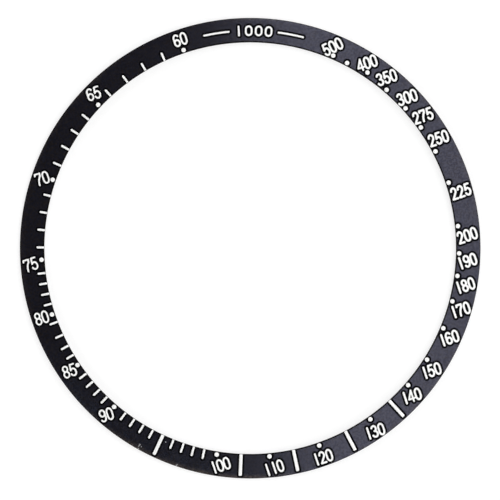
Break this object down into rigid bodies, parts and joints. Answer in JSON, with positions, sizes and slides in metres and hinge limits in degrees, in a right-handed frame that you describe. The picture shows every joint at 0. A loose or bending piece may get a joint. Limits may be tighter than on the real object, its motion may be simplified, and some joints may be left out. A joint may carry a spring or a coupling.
{
  "type": "watch bezel insert",
  "caption": "Flat ring with a gently coned satin black front face, engraved speed scale filled with white enamel and open at the inner edge, and adhesive film on its flat back",
  "frame": {"origin": "the ring's centre, on the underside of the adhesive film, which is the plane the insert lies on", "axes": "+Z out of the front face, +Y from the centre towards the 60 mark, +X to the right when the face is read with 60 at the top"},
  "size_m": [0.0388, 0.0388, 0.0008],
  "materials": {
    "anodised_aluminium": "satin black anodised, with very fine turned grain",
    "white_enamel": "semi-gloss white enamel, filled flush with the face",
    "adhesive_film": "matt translucent pressure-sensitive film"
  },
  "bodies": {
    "root": {"adhesive_ring": "adhesive_film", "insert_ring": "anodised_aluminium", "bar_95": "white_enamel", "bar_105": "white_enamel", "bar_115": "white_enamel", "bar_125": "white_enamel", "bar_135": "white_enamel", "pip_60": "white_enamel", "pip_65": "white_enamel", "pip_70": "white_enamel", "pip_75": "white_enamel", "pip_80": "white_enamel", "pip_90": "white_enamel", "pip_100": "white_enamel", "pip_110": "white_enamel", "pip_120": "white_enamel", "pip_130": "white_enamel", "pip_140": "white_enamel", "pip_150": "white_enamel", "pip_160": "white_enamel", "pip_170": "white_enamel", "pip_180": "white_enamel", "pip_225": "white_enamel", "pip_250": "white_enamel", "pip_275": "white_enamel", "pip_300": "white_enamel", "pip_350": "white_enamel", "pip_450": "white_enamel", "tick_61": "white_enamel", "tick_62": "white_enamel", "tick_63": "white_enamel", "tick_64": "white_enamel", "tick_66": "white_enamel", "tick_67": "white_enamel", "tick_68": "white_enamel", "tick_69": "white_enamel", "tick_71": "white_enamel", "tick_72": "white_enamel", "tick_73": "white_enamel", "tick_74": "white_enamel", "tick_76": "white_enamel", "tick_77": "white_enamel", "tick_78": "white_enamel", "tick_79": "white_enamel", "tick_81": "white_enamel", "tick_82": "white_enamel", "tick_83": "white_enamel", "tick_84": "white_enamel", "tick_86": "white_enamel", "tick_87": "white_enamel", "tick_88": "white_enamel", "tick_89": "white_enamel", "tick_91": "white_enamel", "tick_92": "white_enamel", "tick_93": "white_enamel", "tick_94": "white_enamel", "tick_96": "white_enamel", "tick_97": "white_enamel", "tick_98": "white_enamel", "tick_99": "white_enamel"}
  },
  "joints": []
}
